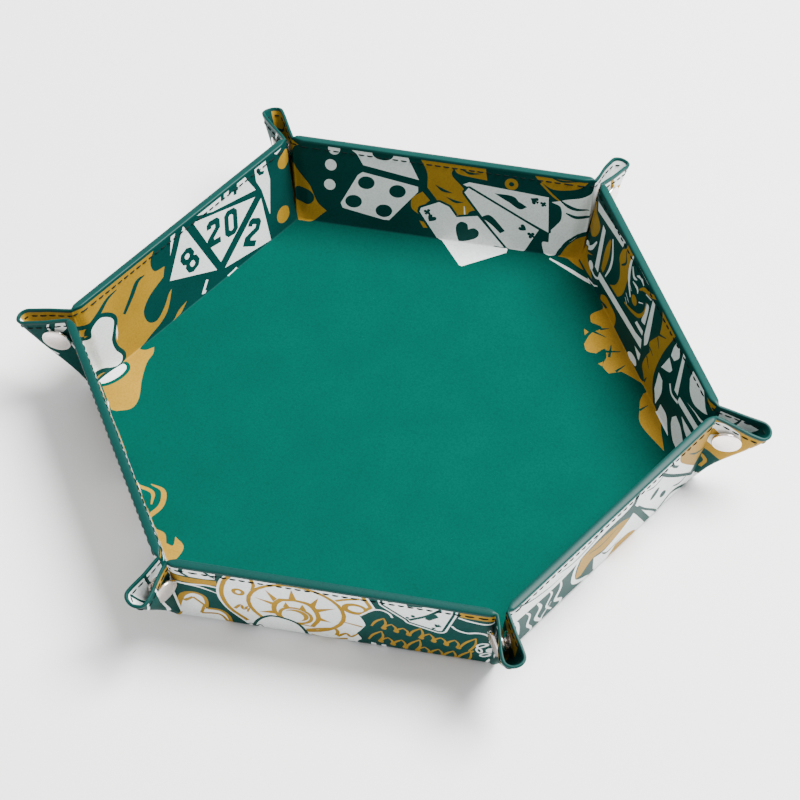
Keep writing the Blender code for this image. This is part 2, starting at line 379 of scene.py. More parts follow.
def build_skin(name, place_of, height, depth, outline, lines, shapes, ground, body_blend, node):
    """A closed skin: its printed face is at the height, and its hidden one deeper by the depth."""
    verts, triangles = cut_print(outline, lines, shapes)
    used = sorted({index for triangle, _ in triangles for index in triangle})
    place = {index: order for order, index in enumerate(used)}
    count = len(used)
    positions = []
    for level in (0, depth):
        for index in used:
            x, y = verts[index]
            positions.append(place_of(x, y, height(x, y) + level))
    faces, paints, borders = [], [], {}
    faces_up = depth < 0
    for triangle, paint in triangles:
        a, b, c = (place[index] for index in triangle)
        (xa, ya), (xb, yb), (xc, yc) = (verts[index] for index in triangle)
        if (xb - xa) * (yc - ya) < (xc - xa) * (yb - ya):
            b, c = c, b
        faces.append((a, b, c) if faces_up else (a, c, b))
        faces.append((a + count, c + count, b + count) if faces_up else (a + count, b + count, c + count))
        paints.extend((PAINT_ORDER.index(paint or ground), len(PAINT_ORDER)))
        for edge in ((a, b), (b, c), (c, a)):
            if edge[::-1] in borders:
                del borders[edge[::-1]]
            else:
                borders[edge] = True
    for a, b in borders:
        faces.append((b, a, a + count, b + count) if faces_up else (a, b, b + count, a + count))
        paints.append(len(PAINT_ORDER))
    mesh = bpy.data.meshes.new(name)
    mesh.from_pydata(positions, [], faces)
    for finish in (*PAINTS.values(), BACKING):
        mesh.materials.append(finish)
    mesh.polygons.foreach_set("material_index", paints)
    mesh.shade_smooth()
    mesh.set_sharp_from_angle(angle=CREASE)
    attach(name, mesh, body_blend, node)


def finished(name, bm, material, crease):
    """The bmesh as a mesh that is shaded smooth, except where it turns by more than the crease."""
    bmesh.ops.recalc_face_normals(bm, faces=bm.faces)
    mesh = bpy.data.meshes.new(name)
    bm.to_mesh(mesh)
    bm.free()
    mesh.materials.append(material)
    mesh.shade_smooth()
    if crease:
        mesh.set_sharp_from_angle(angle=crease)
    return mesh


def add_tube(bm, rings):
    """A tube through the rings of vertices, closed at both ends."""
    for before, after in zip(rings, rings[1:]):
        for i in range(len(before)):
            j = (i + 1) % len(before)
            bm.faces.new((before[i], before[j], after[j], after[i]))
    bm.faces.new(rings[0][::-1])
    bm.faces.new(rings[-1])


def attach(name, mesh, body_blend, node=None):
    """The mesh as a piece that rides on one body; a piece between two bodies stays at rest, on no body."""
    obj = bpy.data.objects.new(name, mesh)
    bpy.context.scene.collection.objects.link(obj)
    if len(body_blend) == 1:
        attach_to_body(obj, body_blend[0])
    else:
        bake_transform(obj)
    if node:
        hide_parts(node)


# ---- outlines of the panels

def ray_point(distance, angle):
    """A flat point in the wall's frame, on the side where Y is positive."""
    return Vector((distance * math.cos(angle), HALF_SIDE + distance * math.sin(angle)))


# The round tip of an ear: its centre's distance from the floor's corner, and the ray where the
# straight rim runs into it.
ROUND_CENTRE = WALL_HEIGHT / math.cos(HALF_EAR) - EAR_ROUNDING / math.sin(math.pi / 3)
ROUND_START = math.atan2(ROUND_CENTRE * math.sin(HALF_EAR), WALL_HEIGHT)


def rim_distance(angle):
    """How far the rim is from the floor's corner along a ray of the ear."""
    if angle <= ROUND_START:
        return WALL_HEIGHT / math.cos(angle)
    off = HALF_EAR - angle
    return ROUND_CENTRE * math.cos(off) + math.sqrt(EAR_ROUNDING**2 - (ROUND_CENTRE * math.sin(off)) ** 2)


def steps(low, high, size):
    """Even steps of about the size, with both ends."""
    count = max(1, round((high - low) / size))
    return [low + (high - low) * i / count for i in range(count + 1)]


def mirrored(points, side):
    """The flat points on the wall's side where Y is positive, or at -1 their mirror images."""
    return [Vector((x, side * y)) for x, y in points]


def flipped(points):
    return [Vector((-x, y)) for x, y in points]


WALL_EDGE = GUSSET_RAY - GUSSET_BEND
GUSSET_END = CREST_RAY - CREST_BEND
WALL_END = HALF_SIDE + rim_distance(WALL_EDGE) * math.sin(WALL_EDGE)
PANELS = {"gusset": (WALL_EDGE, GUSSET_END), "crest": (GUSSET_END, HALF_EAR)}


def wall_outline():
    half = [ray_point(distance, WALL_EDGE) for distance in steps(0.3, rim_distance(WALL_EDGE), MESH_SIZE)]
    corner = Vector((-FLOOR_BEND, HALF_SIDE - FLOOR_BEND * math.tan(HALF_EAR)))
    return [corner] + half + mirrored(half[::-1], -1) + mirrored([corner], -1)


def wall_lines():
    """Lines along the wall through its bend and up it, and across it where the sheet thins."""
    width = HALF_SIDE + 2
    across = steps(-FLOOR_BEND, FLOOR_BEND, 0.5)[1:] + [6.0, 10.0, 20.0, 30.0, 38.0]
    lines = [[(x, -width), (x, width)] for x in across]
    for offset in (THIN_START, -4.4, -3.3, -2.2, THIN_END):
        for side in (-1, 1):
            y = side * (HALF_SIDE + offset)
            lines.append([(0, y), (WALL_HEIGHT + 1, y)])
    return lines


def ear_outline(first, last):
    rim = [ray_point(rim_distance(angle), angle) for angle in steps(first, last, math.radians(1))]
    inner = [ray_point(EAR_START, angle) for angle in steps(first, last, math.radians(3))]
    side, far = ([ray_point(reach, angle) for reach in steps(EAR_START, rim_distance(angle), MESH_SIZE)]
                 for angle in (first, last))
    return side[:-1] + rim + far[::-1][1:-1] + inner[::-1][:-1]


def ear_lines(first, last):
    lines = []
    for angle in steps(first, last, RAY_PITCH)[1:-1]:
        lines.append([ray_point(EAR_START * 0.5, angle), ray_point(60, angle)])
    for distance in (3, 6, 10, 15, 20, 25, 30, 35, 40, 44):
        arc = steps(first - 0.02, last + 0.02, math.radians(1.5))
        lines.append([ray_point(distance, angle) for angle in arc])
    return lines


# ---- which bodies a panel joins

def ear_panels(wall):
    """The panels of the half ears at the wall's two ends: side, kind, first and last ray, node."""
    for side in (1, -1):
        number, half = corner_of(wall, side)
        for kind, (first, last) in PANELS.items():
            yield side, kind, first, last, f"corner_{number}_{kind}_{half}"


def blend_of(kind, wall, side):
    """The two bodies that a panel joins, and the points where its bend starts and ends."""
    body = f"wall_{wall + 1}"
    if kind == "wall":
        return "floor", body, rest_point(wall, -FLOOR_BEND, 0, 0), rest_point(wall, FLOOR_BEND, 0, 0)
    number, half = corner_of(wall, side)
    if kind == "gusset":
        bodies, ray, bend_half = (body, f"ear_{number}{half}"), GUSSET_RAY, GUSSET_BEND
    else:
        bodies, ray, bend_half = (f"ear_{number}{half}", f"crest_{number}{half}"), CREST_RAY, CREST_BEND
    ends = []
    for angle in (ray - bend_half, ray + bend_half):
        x, y = ray_point(BLEND_DISTANCE, angle)
        ends.append(rest_point(wall, x, side * y, EAR_MIDDLE))
    return *bodies, *ends


# ---- the print

# Shapes are lists of (paint, outline), the later ones on top. A wall's shapes are in millimetres
# on the flat sheet: X up the wall from its fold, Y along it, anticlockwise seen from above.

# The share of a stroke that each of its ends takes, the cosine above which a wider outline keeps
# one point at a corner, the flourishes' height in mm and their lean, and the size of a die's digits.
TAPER = 0.4
NEAR_STRAIGHT = 0.8
FLOURISH_HEIGHT = 8.4
FLOURISH_LEAN = 0.62
NUMERAL_SIZE = 2.6


def curve(points, closed=False):
    """A Catmull-Rom curve through the points."""
    points = [Vector(point) for point in points]
    if len(points) < 3:
        return points
    if closed:
        points = points[-1:] + points + points[:2]
    else:
        points = [2 * points[0] - points[1]] + points + [2 * points[-1] - points[-2]]
    found = []
    for a, b, c, d in zip(points, points[1:], points[2:], points[3:]):
        for step in range(CURVE_STEPS):
            t = step / CURVE_STEPS
            found.append(0.5 * (2 * b + (c - a) * t + (2 * a - 5 * b + 4 * c - d) * t * t
                                + (3 * b - a - 3 * c + d) * t**3))
    return found if closed else found + [points[-2]]


def joined(pieces):
    """An outline of smooth curves that meet at corners."""
    return [point for piece in pieces for point in curve(piece)[:-1]]


def line(points, width, first=1.0, last=1.0):
    """A brush stroke along a curve. Its ends, each TAPER of it, narrow to these shares of the width."""
    spine = curve(points)
    left, right = [], []
    count = len(spine) - 1
    for i, point in enumerate(spine):
        along = (spine[min(i + 1, count)] - spine[max(i - 1, 0)]).normalized()
        share = i / count
        taper = min(first + (1 - first) * share / TAPER, last + (1 - last) * (1 - share) / TAPER, 1)
        side = Vector((-along.y, along.x)) * width / 2 * taper
        left.append(point + side)
        right.append(point - side)
    return left + right[::-1]


def oval(centre, along, across=None, angle=0.0):
    """An ellipse with the radius along at the angle, in degrees, and the radius across it."""
    turned_x = Vector((math.cos(math.radians(angle)), math.sin(math.radians(angle))))
    turned_y = Vector((-turned_x.y, turned_x.x))
    turns = [2 * math.pi * step / OVAL_STEPS for step in range(OVAL_STEPS)]
    return [Vector(centre) + along * math.cos(turn_by) * turned_x
            + (across or along) * math.sin(turn_by) * turned_y for turn_by in turns]


def grown(outline, distance):
    """The outline moved outwards by the distance, with its sharp corners cut."""
    outline = [Vector(point) for point in outline]
    outwards = distance if area(outline) > 0 else -distance
    found = []
    for before, point, after in zip(outline[-1:] + outline, outline, outline[1:] + outline[:1]):
        if (point - before).length < 1e-6 or (after - point).length < 1e-6:
            continue
        first = (point - before).normalized()
        second = (after - point).normalized()
        normals = [outwards * Vector((d.y, -d.x)) for d in (first, second)]
        if first.dot(second) > NEAR_STRAIGHT:
            found.append(point + (normals[0] + normals[1]) / (1 + first.dot(second)))
        else:
            found.extend((point + normals[0], point + normals[1]))
    return found


def placed(shapes, centre, angle, size):
    """Shapes drawn with X to the right and Y up, put on a wall so that they read from inside."""
    turned_by = math.radians(angle)
    right = Vector((-math.sin(turned_by), -math.cos(turned_by)))
    up = Vector((math.cos(turned_by), -math.sin(turned_by)))
    return [(paint, [Vector(centre) + size * (x * right + y * up) for x, y in outline])
            for paint, outline in shapes]


# Block digits five units high and three wide, with their corners cut. White is their ink.
DIGITS = {
    "0": """
w n .75,-2.5 2.25,-2.5 3,-1.75 3,1.75 2.25,2.5 .75,2.5 0,1.75 0,-1.75
g n 1.3,-1.5 1.7,-1.5 2,-1.2 2,1.2 1.7,1.5 1.3,1.5 1,1.2 1,-1.2
""",
    "1": "w n .5,1.2 .5,2 1.4,2.5 2.2,2.5 2.2,-2.5 1.1,-2.5 1.1,1.2",
    "2": """
w n 0,1 0,1.9 .6,2.5 2.4,2.5 3,1.9 3,.4 1.5,-1 1.5,-1.4 3,-1.4 3,-2.5 0,-2.5 0,-.9 \
1.9,.8 1.9,1.4 1.05,1.4 1.05,1
""",
    "4": "w n 1.6,2.5 2.7,2.5 2.7,-.5 3.2,-.5 3.2,-1.5 2.7,-1.5 2.7,-2.5 1.6,-2.5 1.6,-1.5 -.2,-1.5 -.2,-.5",
    "8": """
w n .75,-2.5 2.25,-2.5 3,-1.75 3,1.75 2.25,2.5 .75,2.5 0,1.75 0,-1.75
g n 1.25,.6 1.75,.6 2,.85 2,1.35 1.75,1.6 1.25,1.6 1,1.35 1,.85
g n 1.25,-1.6 1.75,-1.6 2,-1.35 2,-.75 1.75,-.5 1.25,-.5 1,-.75 1,-1.35
g n 0,.45 .45,0 0,-.45
g n 3,.45 3,-.45 2.55,0
""",
}


def numeral(text, ink="ground", paper="white"):
    """The digits side by side, four units apart, with their middle at the origin."""
    start = -(4 * len(text) - 1) / 2
    return [({"white": ink, "ground": paper}[paint], [(start + 4 * order + x, y) for x, y in outline])
            for order, digit in enumerate(text) for paint, outline in draw(DIGITS[digit])]


def heart():
    half = curve([(0, 0.55), (0.35, 0.95), (0.85, 0.85), (1.0, 0.3), (0.6, -0.4), (0, -1)])
    return [("ground", half + flipped(half[-2:0:-1]))]


def spade():
    half = curve([(0, 1), (0.45, 0.4), (0.95, -0.1), (0.8, -0.6), (0.35, -0.6), (0.1, -0.35)])
    return [("ground", half + flipped(half[:0:-1]))] + draw("g n 0,-.2 .4,-1 -.4,-1")


def club():
    return draw("""
g e 0,.5 .42
g e -.5,-.2 .42
g e .5,-.2 .42
g n 0,.3 .35,-1 -.35,-1
g n -.3,-.3 .3,-.3 .3,.3 -.3,.3
""")


def triangle_face(corners, text, angle, slide):
    """A face of a die with its number, turned by the angle and moved from the face's middle."""
    face = draw("w n " + corners)
    centre = sum((Vector(corner) for corner in face[0][1]), Vector((0, 0))) / 3 + Vector(slide)
    return face + placed(numeral(text), centre, angle, NUMERAL_SIZE)


def playing_card(corners, pips):
    """A card in perspective, with a green edge round it. A pip is (shape, x, y, size, angle)."""
    found = draw("g1.1w n " + corners)
    for shape, x, y, size, angle in pips:
        found += placed(shape(), (x, y), angle, size)
    return found


LETTERS = {"g": "ground", "w": "white", "o": "ochre", "f": "floor"}


def draw(text):
    """Shapes written one a line: paints, kind, sizes and points, with / where a curve has a corner.

    Kinds: n straight sides, b closed curve, p path, l stroke (width, ends), e ellipse (radii,
    turn). A paint with a number is a wider outline of the shape in that paint, laid under it.
    """
    found = []
    for row in text.strip().splitlines():
        paints, kind, *items = row.split()
        sizes = [float(item) for item in items if "," not in item and item != "/"]
        pieces = [[]]
        for item in items:
            if item == "/":
                pieces.append(pieces[-1][-1:])
            elif "," in item:
                pieces[-1].append(tuple(float(value) for value in item.split(",")))
        points = pieces[0]
        if kind == "p":
            if pieces[-1][-1] != points[0]:
                pieces.append([pieces[-1][-1], points[0]])
            outline = joined(pieces)
        elif kind == "l":
            outline = line(points, *sizes)
        elif kind == "e":
            outline = oval(points[0], *sizes)
        else:
            outline = curve(points, closed=True) if kind == "b" else points
        for letter, wider in re.findall(r"([gwof])([\d.]*)", paints):
            found.append((LETTERS[letter], grown(outline, float(wider)) if wider else outline))
    return found


def flame_art():
    """Two curling flames."""
    return draw("""
o p 45,17 42,17.5 37,21 31.5,20 30,14.4 / 25.6,16.2 / 22,25.4 16.8,30.4 10.4,29.5 7.8,24.9 \
11.1,19.5 15.6,15.7 17,13.4 / 9,17.8 5.4,22.9 3,31 0,36.9 -3.6,36.4 -5.4,32.6 / \
-7.6,35.5 -9.2,41 -14,49 -20,57 -21.5,63 -18,68 / -3,75 / 30,92 / 50,80
g l 2.5 .2 .7 33.4,25.6 33,30 28.5,34.5 23,40.4
g l 2.3 .2 1 37,41 36,47 32.4,53 30.6,58 34,66
o p 5.6,7.2 2,12 .4,17 / 4,13 5.6,7.2
""")


def bone_art():
    """The knobbed end of a bone."""
    return draw("""
g2.1w b 30,53 27.5,48.6 24,46.4 19.5,48 15.5,49.8 10,49.2 4.5,46.6 1.6,49 3.4,53.6 6,58 \
6,66 12,72 20,70 25,64 23.6,58.5 28,57
w p 21,45.4 17.5,46.8 13.5,47.2 / 17,45.8 21,45.4
g1.6w b -.4,50.5 -2.6,47.6 -5,49 -5.6,54 -4,60 0,64 1.8,57
""")


def many_sided_die_art():
    """Five faces of a twenty-sided die, with tassels at its corners."""
    return (
        draw("""
w n 48,-2 42.6,-5 37.4,-16.5 31.4,-42 39.2,-38.5 48,-36
w n 28.9,-45.2 35,-43.2 46,-44 48,-50 31,-50.8 14.3,-46.8
w n 41.8,7.4 41.8,4.6 32.7,10.2
""")
        + placed(numeral("14"), (42.2, -27.5), 18, 1.7)
        + triangle_face("41.7,.1 21.2,13.4 8.5,-12.1", "8", -20, (-0.4, 0.2))
        + triangle_face("39.4,-5.4 28.3,-40.7 10.7,-15.1", "20", 10, (0.2, 0.4))
        + triangle_face("25.5,-43.8 1.8,-44.3 6.4,-16.5", "2", 34, (1.4, -0.4))
        + placed(numeral("1", "white", "ground"), (5, -4), 218, 1.3)
        + draw("""
w l 1.9 .4,-17 1.6,-22.8
g p 40.6,-46 40,-44.4 36.6,-45.4 / 35.8,-48 / 37,-48.6 38,-46.8
o e 9.2,-54 4.1 3.9
o e 34.4,-58.6 4.1 3.4 10
w n 44,-52 40,-55 43,-60
g e 42,-54.5 .8
o e 15,-73 4 5.5
""")
    )


def pip_die_art():
    """Two faces of a die with pips, and leaves beside it."""
    return draw("""
o p 28,70 29.5,61.6 / 21,57 11.9,53.2 7.8,49 / 2.2,54 / -2.5,58 -2.5,75
g e 13.6,58.9 4.1 4.3
o n 44,67 42,62 39.7,58.2 33.5,66 30,75 44,75
w e 32.1,47.8 2.9 2.5
w e 21.8,48 2.8 2.5
w e 40.6,46.6 3 2.6
w n 46,42 42.4,40.6 39.6,36.8 34.3,33.8 30.7,9.6 40.2,14.2 46,16
g e 41.3,25.6 3.1 4.6
w n 30.7,34 27.1,9.8 24.5,9.7 7.6,21.6 7.4,24 10.6,42 13,43 28.8,36
g e 25.4,32.2 3.25 3.7 25
g e 23.2,18.6 3.25 3.7 25
g e 14.8,37.4 3.25 3.7 25
g e 12.1,24.1 3.25 3.7 25
""")


def ribbon_art():
    """A swallow-tailed ribbon that hangs behind the cards."""
    return draw("""
o p 46,12 36,6.5 27.5,5.8 / 21,1 12.4,-4 11.5,-12 / 17.5,-12.5 19.5,-16.5 / \
26,-12.5 31,-8.5 / 35.5,-4.5 39.2,-5 / 36.5,-8 35.4,-19.6 / 46,-18
o p 25,7.8 21,12 15.8,12.2 13,9 / 17,7.5 21,4.4
o n 9.6,8.6 6.2,6.6 6.6,3.6 9,4.4
g l 1.2 .2 .2 39.2,-8.5 37.8,-12 38.2,-16
g l 1.4 .1 .1 29.5,2.5 27.2,-1 26.4,-5
g l 1.3 .1 .1 24,-2.5 22.2,-6.5 22.4,-10
w l .8 .4 .4 20.4,-10.4 14.6,-11.4 13.4,-14.6
""")


def cards_art():
    """Three playing cards and the curls between them."""
    return (
        playing_card("31.7,-9.4 33.2,-12 31.2,-46.2 13,-47.2",
                     [(spade, 28.6, -40.2, 2.0, -60), (club, 27.4, -44, 1.5, -60)])
        + draw("g p 26.4,-28.6 27,-33 24.6,-37.4 / 23,-34 26.4,-28.6")
        + playing_card("30.3,-11.8 27.6,-10.2 .4,-30.2 .4,-37 13.6,-43",
                       [(heart, 13.4, -36.2, 1.7, -60), (club, 10.4, -39.8, 1.9, -60)])
        + draw("""
g p 16,-17.6 17.6,-22 10.6,-28.6 / 9,-26.6 / 13.4,-22 16,-17.6
g p 29.4,-23 29.2,-31 25.4,-34.6 / 25.6,-30 29.4,-23
""")
        + playing_card("14.4,8.6 16.4,8.2 20.8,.4 19,-4 14.2,-7.4 16.4,-16.4 "
                       "0,-30.2 -3.6,-30.2 -15,-12.8 -14.6,-11.6 -3,-2.6",
                       [(club, 14.9, 5.2, 1.7, 30), (heart, 11.6, 3.4, 1.9, 30),
                        (heart, 6.2, -11.4, 5.2, 28)])
        + draw("""
g n 2.2,-24.4 .6,-24 .2,-29 1.6,-29.4
o e 35.3,-30 2.9
g e 35.3,-30 1.1
""")
    )


def swirl_art():
    """Curling leaves at the end of the cards' wall."""
    return draw("""
o p 46,-36 39.6,-41 / 35.6,-48 37.6,-56 46,-60
g l 1 .2 .2 41.8,-46 40.4,-51 41.4,-56
o l 1 1 .1 38,-42.4 32.4,-48 29,-52.6
w p 46,-66 37,-65 27,-66.5 15,-62 6.6,-53.2 .6,-50.4 / -1,-48 1.6,-46 / 7.4,-44.8 8,-47.6 / \
13.5,-47.8 17,-50 21,-52.2 27,-51.6 29,-47.6 / 31,-53 35.6,-60.4 46,-62
w n 44,-62 44,-92 30,-88 24,-74 24,-62
g l 1.5 .2 .2 31.6,-50 27.4,-55.6 26.4,-61
g l 1.6 .4 .2 24.4,-54 22.6,-58.6 24,-64
o p 0,-52 8.6,-56.5 14.6,-64.5 / 16,-80 / -3,-80 0,-52
g l 1.3 .4 1 1,-51.4 9.4,-55.4 15.8,-64.4 18,-74
w l 1.7 .5 1 -3.4,-48.8 -7.6,-57 -12.6,-66 -15.8,-73
o p -1,-55 -6.4,-62.4 -9.4,-70 / -1,-76
""")


def leaf_spill():
    """Cut leaves that run from the striped wall on to the floor."""
    return draw("""
o p 2,34 -2.6,31.6 / -8,30.4 -9.6,26.4 / -6.4,22 -12,20.4 -16.6,16 / -17,12 -13.8,9.4 / \
-9.4,10.6 -10.4,6 / -13.6,2 -12.8,-2.6 / -7.4,-3.4 / -5.2,-6.4 -2.4,-11 / 3,-12 3,34
g l 1.3 1 .2 -7.4,21.4 -3.6,20.6
f l 1.4 1 .2 -11.6,22.6 -6.6,16.4
f l 1.5 1 .3 -10.6,9.4 -3.8,7
f l 1.3 .3 1 -6.2,11.6 -9.4,5.6
f l 1.3 1 .2 -9.6,-2.6 -4.6,-.6
o p -3,-17.4 -5.8,-20.6 -7.4,-24 / -10.2,-33 -6.4,-49 / -2.6,-36 2,-28 / 2,-17
f l 1.2 1 .2 -8,-25.4 -3.6,-24
o n -13.6,24 -12.4,21.6 -14.6,20.4
o n -12.6,4.2 -13.8,1.8 -15,3.8
""")


def curl_spill():
    """Small curling leaves, as the print has them near a corner of the floor."""
    return draw("""
o p 3,42 -5,38 -9.6,33 -8,27 / -5.8,31 -3.6,29 / -4.4,24 -1,20 / 3,20 3,42
o l 2.2 1 .2 0,14 -7,10 -10,3 -6.4,-2
o l 1.6 .4 1 -3.6,8 -5.6,2 0,-4
""")


def flourish(start, end, pattern):
    """A row of pen strokes that lean along the row. The pattern is each stroke's height."""
    along = (Vector(end) - Vector(start)) / len(pattern)
    found = []
    for order, size in enumerate(pattern):
        rise = FLOURISH_HEIGHT * size
        foot = Vector(start) + along * order
        top = foot + Vector((rise, FLOURISH_LEAN * rise))
        hook = foot + along * 0.75 + Vector((0.2, 0.4))
        for points, *sizes in (
            ((foot, foot.lerp(top, 0.5) + Vector((0.4, -0.7)), top), 1.1, 0.7, 0.5),
            ((top, top.lerp(hook, 0.5) + Vector((0.1, 1.1)), hook), 0.95, 0.5, 1),
            ((hook, hook + Vector((-0.5, 1.2)), foot + along * 1.05 + Vector((1.4, 0.6))), 0.8),
        ):
            found.append(("ochre", line(points, *sizes)))
    return found


def medallion_art():
    """A sun in a ring, with cards and flourishes beside it."""
    found = draw("""
w p 43,-63 43,-45 / 36.4,-45.6 / 35.6,-51 36.2,-58 38,-63
g l 1.1 43,-55.4 38.6,-56.4 35.8,-55
g l 1.2 1 .3 43,-50.6 39,-47.4 37,-45.4
o p 37.4,-63 34.8,-56 35,-50 35.4,-45.2 / 31.4,-45 / 30.2,-52 31.2,-60 33,-63
w l 1 37,-63 31,-61.4 29.2,-57 30.2,-50 29.6,-45
w l 1 1 .4 29.4,-60 28.4,-54 27,-50 24.6,-45.4
w.7o1.6w p -3,-66 5,-62 12,-60 18.6,-58 21.4,-55.4 19.6,-52 14,-51.4 8.6,-52.4 / 9.4,-48 8.6,-45 \
4.6,-43 -3,-42.6
o l 1.3 13.4,-59.4 18.4,-55.8
o l 1.3 18.4,-55.8 12.6,-51.6
o l 1.3 12.6,-51.6 5.2,-53.4
o l 1.3 5.2,-53.4 6.4,-46 0,-42.6
w p 43,-40.8 36,-44.2 25,-45.8 14,-43.2 4,-36.4 -3,-31 / -3,2 / 2,8.4 5,10.6 / 9,8.8 / 12,10.4 17,12.6 \
/ 20,12.2 25.4,10.4 / 33.2,17.2 / 43,14.2
o l 1.9 43,-38.8 36,-42.2 25,-43.8 14,-41.4 5,-34.8
o l 1.7 43,12.2 33.4,15.4
o l 1.7 33.6,15.6 26.4,9.8
o e 22.5,-14.5 19.8
w e 22.5,-14.5 18
o l 1.5 1 .5 43,-31.4 37,-30.4 32,-31.6
o e 29,-37 3 2.7
w e 29,-37 1.3 1.1
o e 30,9 4.8 5.2
w e 30.2,9.4 2.5 3.1
o l 1.6 34.6,1.6 37.2,6 39.4,11.4
o l 1.3 .6 1 17,4.4 15.2,11.4
o l 1.5 5,-11.4 8,-5 9.6,0 7,1.2 4,.4
o l 1.4 1 .6 3.4,1 7,4.4 5,6.4 8.4,9.2
o l 1.3 .5 1 1.6,-9.6 .4,-3 2.6,5
o l 1.4 1 .6 14,-39.4 17.8,-36.8 14.6,-35.8 17.6,-33.4 12.6,-34.4
o p 9,-20.6 17,-24.2 24,-23.8 29,-21 / 30.2,-15 / 29,-9 24,-6 16,-5 8,-8
w p 10,-19 17,-22.2 23,-21.8 27,-19.6 / 28.4,-15 / 27,-10.4 23,-8 16,-7 9,-9.6
o n 29,-17.2 38.4,-15.5 29,-13.8
o n 28.4,-21.6 34.8,-26 25.4,-23.4
o n 28.4,-8.6 34.8,-5 25.8,-6.8
o n 24.8,-23.6 26.6,-30.8 22,-23.4
o n 24.8,-6.4 27.6,1.4 21.8,-6
o n 17.8,-23.6 14.4,-29.8 14.8,-22.8
o n 18,-5.6 14.6,-.8 14.8,-6
o n 21.8,-19.8 26.8,-18.4 22,-16.8
o n 22,-13.4 26.8,-11.8 21.8,-10.4
o e 16,-15 7.2 7
w e 16,-15 5.7 5.5
o e 16.4,-14.7 4.9
w e 15.3,-16.2 4.4
g1.4w p -3,-32.4 3,-31.4 8,-29 11.4,-25.4 11.8,-22 / 10,-17 6,-13.6 -3,-10.8
g l .8 .5 .5 1,-36 2.8,-33.6 1,-32 2.8,-30 1,-28.6
w l .9 25,10.8 29,13.8 32.2,17 32.6,20 30.6,22.6 27.6,23.6
w1.9g1.1w n 44,20 38,20.6 28.4,29.6 26.6,30.4 22.4,41.6 23,42.8 38,47.2 44,48
g l 1.5 41,43 34,37.4 28,30.2
g n 36.6,40.8 34.2,42 30.2,38.2 31,36.4 33.4,37
g e 31.8,31.8 1.1 .9
g e 29.8,29.6 .8
g n 44,28.6 39.6,30 40.4,35.6 44,37
g n 44,22 40.4,22.4 41.4,25 44,25.6
w l 1 36.6,49.6 34.8,54 34.4,58 37,62
w l 1 28.4,46.8 25.6,49 24.4,53 26,57 23.6,59.6 18,60.4
w e 15,58 2.8 1.5 35
g e 15,58 1.7 .7 35
w e 10.6,57.2 2.4 1.4 -10
g e 10.6,57.2 1.4 .6 -10
w e 7,59.4 2.5 1.5 60
g e 7,59.4 1.5 .7 60
w e 11.4,61 2.3 1.4 10
w l 1 4,61.4 1,60 -2,60.8
w n -.6,14 3,14.4 2.6,16.2 -.6,16.4
w n -.6,18.2 2.4,18.4 2.6,20.2 -.6,20.4
w l .9 -2,8.4 2,8.4 4.6,10.2
o n 44,50 37.4,50.4 37,62 44,63
o p 43,-63 43,-72 / 38,-71 37,-63
w l 1 43,-73 33,-72 24,-70.6 12,-68
w l 1 43,-79 36,-78.6 28,-78 18,-73
w l 1.1 33,-63 24,-64 14,-63.6 4,-63
o l 1.4 40,-84 33,-82 30,-80
w l 1 43,67 34,66 25,69 12,66
w l 1 40,78 33,80 27,77
o l 2 42,71 36,73 36,79
""")
    found += placed(spade(), (26.6, 41.2), 150, 1.6) + placed(club(), (23.9, 39.6), 150, 1.0)
    found += flourish((17.6, 15), (8.4, 54), (1, 0.62, 0.55, 0.95, 0.66, 0.58, 0.7, 1.35))
    found += flourish((5.4, 13.4), (-3, 52), (1.05, 0.6, 0.7, 1.15, 0.58, 0.7, 0.9, 1.3))
    return found


